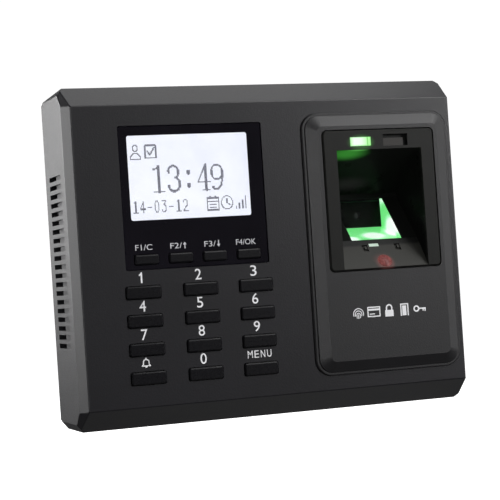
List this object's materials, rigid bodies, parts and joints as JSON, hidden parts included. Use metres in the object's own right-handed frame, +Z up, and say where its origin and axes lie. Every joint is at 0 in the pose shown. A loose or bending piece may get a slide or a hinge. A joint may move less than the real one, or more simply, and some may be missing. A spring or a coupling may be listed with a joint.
{
  "type": "fingerprint scanner terminal",
  "caption": "Wall-mounted access terminal: black case, display, function keys, numeric keypad and a recessed optical finger reader under a raised panel.",
  "frame": {"origin": "centre of the flat back of the wall plate, in the plane of the wall", "axes": "+X to the right as a user faces the terminal, +Y into the wall, +Z up; the front faces -Y"},
  "size_m": [0.17, 0.0434, 0.1372],
  "materials": {
    "case_black": "fine textured black moulded plastic",
    "panel_black": "fine textured black moulded plastic",
    "frame_black": "smooth black",
    "steel_plate": "zinc plated sheet",
    "screw_zinc": "zinc plated",
    "window_clear": "clear hard plastic",
    "mask_black": "printed black",
    "lcd_glass": "liquid crystal glass",
    "backlight_white": "white light panel",
    "lcd_can": "bent sheet",
    "key_black": "satin black",
    "board_green": "glass-fibre board",
    "chip_black": "moulded resin",
    "capacitor_black": "sleeved can",
    "relay_blue": "moulded",
    "buzzer_black": "moulded",
    "terminal_green": "moulded",
    "jack_metal": "shielded shell",
    "switch_metal": "stamped",
    "tamper_black": "moulded",
    "cell_steel": "polished",
    "holder_white": "moulded",
    "speaker_black": "coated paper cone in a steel basket",
    "bracket_black": "moulded",
    "prism_glass": "optical glass",
    "light_guide": "frosted light guide, lit green",
    "baffle_black": "flocked black",
    "camera_black": "moulded",
    "pipe_green": "translucent green",
    "pipe_red": "dark translucent",
    "light_red": "translucent red",
    "ribbon_grey": "flat flexible cable",
    "cable_black": "sheathed"
  },
  "bodies": {
    "terminal": {"board_capacitors": "capacitor_black", "board_screws": "screw_zinc", "buzzer": "buzzer_black", "case_screws": "screw_zinc", "cell_holder": "holder_white", "coin_cell": "cell_steel", "display_mask": "mask_black", "display_window": "window_clear", "door_relay": "relay_blue", "front_cover": "case_black", "green_light_pipe": "pipe_green", "imaging_camera": "camera_black", "key_board": "board_green", "key_ribbon": "ribbon_grey", "key_switches": "switch_metal", "lcd_backlight": "backlight_white", "lcd_board": "board_green", "lcd_frame": "lcd_can", "lcd_glass": "lcd_glass", "lcd_ribbon": "ribbon_grey", "light_board": "board_green", "lock_screw": "screw_zinc", "main_board": "board_green", "prism": "prism_glass", "prism_baffle": "baffle_black", "prism_holder": "bracket_black", "prism_leds": "board_green", "prism_light_guide": "light_guide", "processor_chips": "chip_black", "ramp_light": "light_red", "rear_cover": "case_black", "red_light_pipe": "pipe_red", "sensor_board": "board_green", "sensor_cable": "cable_black", "sensor_frame": "frame_black", "sensor_panel": "panel_black", "sensor_screws": "screw_zinc", "service_jack": "jack_metal", "speaker": "speaker_black", "speaker_bracket": "bracket_black", "tamper_switch": "tamper_black", "terminal_blocks": "terminal_green", "wall_plate": "steel_plate"},
    "key_0_body": {"key_0": "key_black"},
    "key_1_body": {"key_1": "key_black"},
    "key_2_body": {"key_2": "key_black"},
    "key_3_body": {"key_3": "key_black"},
    "key_4_body": {"key_4": "key_black"},
    "key_5_body": {"key_5": "key_black"},
    "key_6_body": {"key_6": "key_black"},
    "key_7_body": {"key_7": "key_black"},
    "key_8_body": {"key_8": "key_black"},
    "key_9_body": {"key_9": "key_black"},
    "key_bell_body": {"key_bell": "key_black"},
    "key_f1_body": {"key_f1": "key_black"},
    "key_f2_body": {"key_f2": "key_black"},
    "key_f3_body": {"key_f3": "key_black"},
    "key_f4_body": {"key_f4": "key_black"},
    "key_menu_body": {"key_menu": "key_black"}
  },
  "joints": [
    {"name": "key_0_press", "type": "slide", "parent": "terminal", "child": "key_0_body", "axis": [0, 1, 0], "range_m": [0, 0.0008], "stiffness_N_per_m": 300},
    {"name": "key_1_press", "type": "slide", "parent": "terminal", "child": "key_1_body", "axis": [0, 1, 0], "range_m": [0, 0.0008], "stiffness_N_per_m": 300},
    {"name": "key_2_press", "type": "slide", "parent": "terminal", "child": "key_2_body", "axis": [0, 1, 0], "range_m": [0, 0.0008], "stiffness_N_per_m": 300},
    {"name": "key_3_press", "type": "slide", "parent": "terminal", "child": "key_3_body", "axis": [0, 1, 0], "range_m": [0, 0.0008], "stiffness_N_per_m": 300},
    {"name": "key_4_press", "type": "slide", "parent": "terminal", "child": "key_4_body", "axis": [0, 1, 0], "range_m": [0, 0.0008], "stiffness_N_per_m": 300},
    {"name": "key_5_press", "type": "slide", "parent": "terminal", "child": "key_5_body", "axis": [0, 1, 0], "range_m": [0, 0.0008], "stiffness_N_per_m": 300},
    {"name": "key_6_press", "type": "slide", "parent": "terminal", "child": "key_6_body", "axis": [0, 1, 0], "range_m": [0, 0.0008], "stiffness_N_per_m": 300},
    {"name": "key_7_press", "type": "slide", "parent": "terminal", "child": "key_7_body", "axis": [0, 1, 0], "range_m": [0, 0.0008], "stiffness_N_per_m": 300},
    {"name": "key_8_press", "type": "slide", "parent": "terminal", "child": "key_8_body", "axis": [0, 1, 0], "range_m": [0, 0.0008], "stiffness_N_per_m": 300},
    {"name": "key_9_press", "type": "slide", "parent": "terminal", "child": "key_9_body", "axis": [0, 1, 0], "range_m": [0, 0.0008], "stiffness_N_per_m": 300},
    {"name": "key_bell_press", "type": "slide", "parent": "terminal", "child": "key_bell_body", "axis": [0, 1, 0], "range_m": [0, 0.0008], "stiffness_N_per_m": 300},
    {"name": "key_f1_press", "type": "slide", "parent": "terminal", "child": "key_f1_body", "axis": [0, 1, 0], "range_m": [0, 0.0008], "stiffness_N_per_m": 300},
    {"name": "key_f2_press", "type": "slide", "parent": "terminal", "child": "key_f2_body", "axis": [0, 1, 0], "range_m": [0, 0.0008], "stiffness_N_per_m": 300},
    {"name": "key_f3_press", "type": "slide", "parent": "terminal", "child": "key_f3_body", "axis": [0, 1, 0], "range_m": [0, 0.0008], "stiffness_N_per_m": 300},
    {"name": "key_f4_press", "type": "slide", "parent": "terminal", "child": "key_f4_body", "axis": [0, 1, 0], "range_m": [0, 0.0008], "stiffness_N_per_m": 300},
    {"name": "key_menu_press", "type": "slide", "parent": "terminal", "child": "key_menu_body", "axis": [0, 1, 0], "range_m": [0, 0.0008], "stiffness_N_per_m": 300}
  ]
}
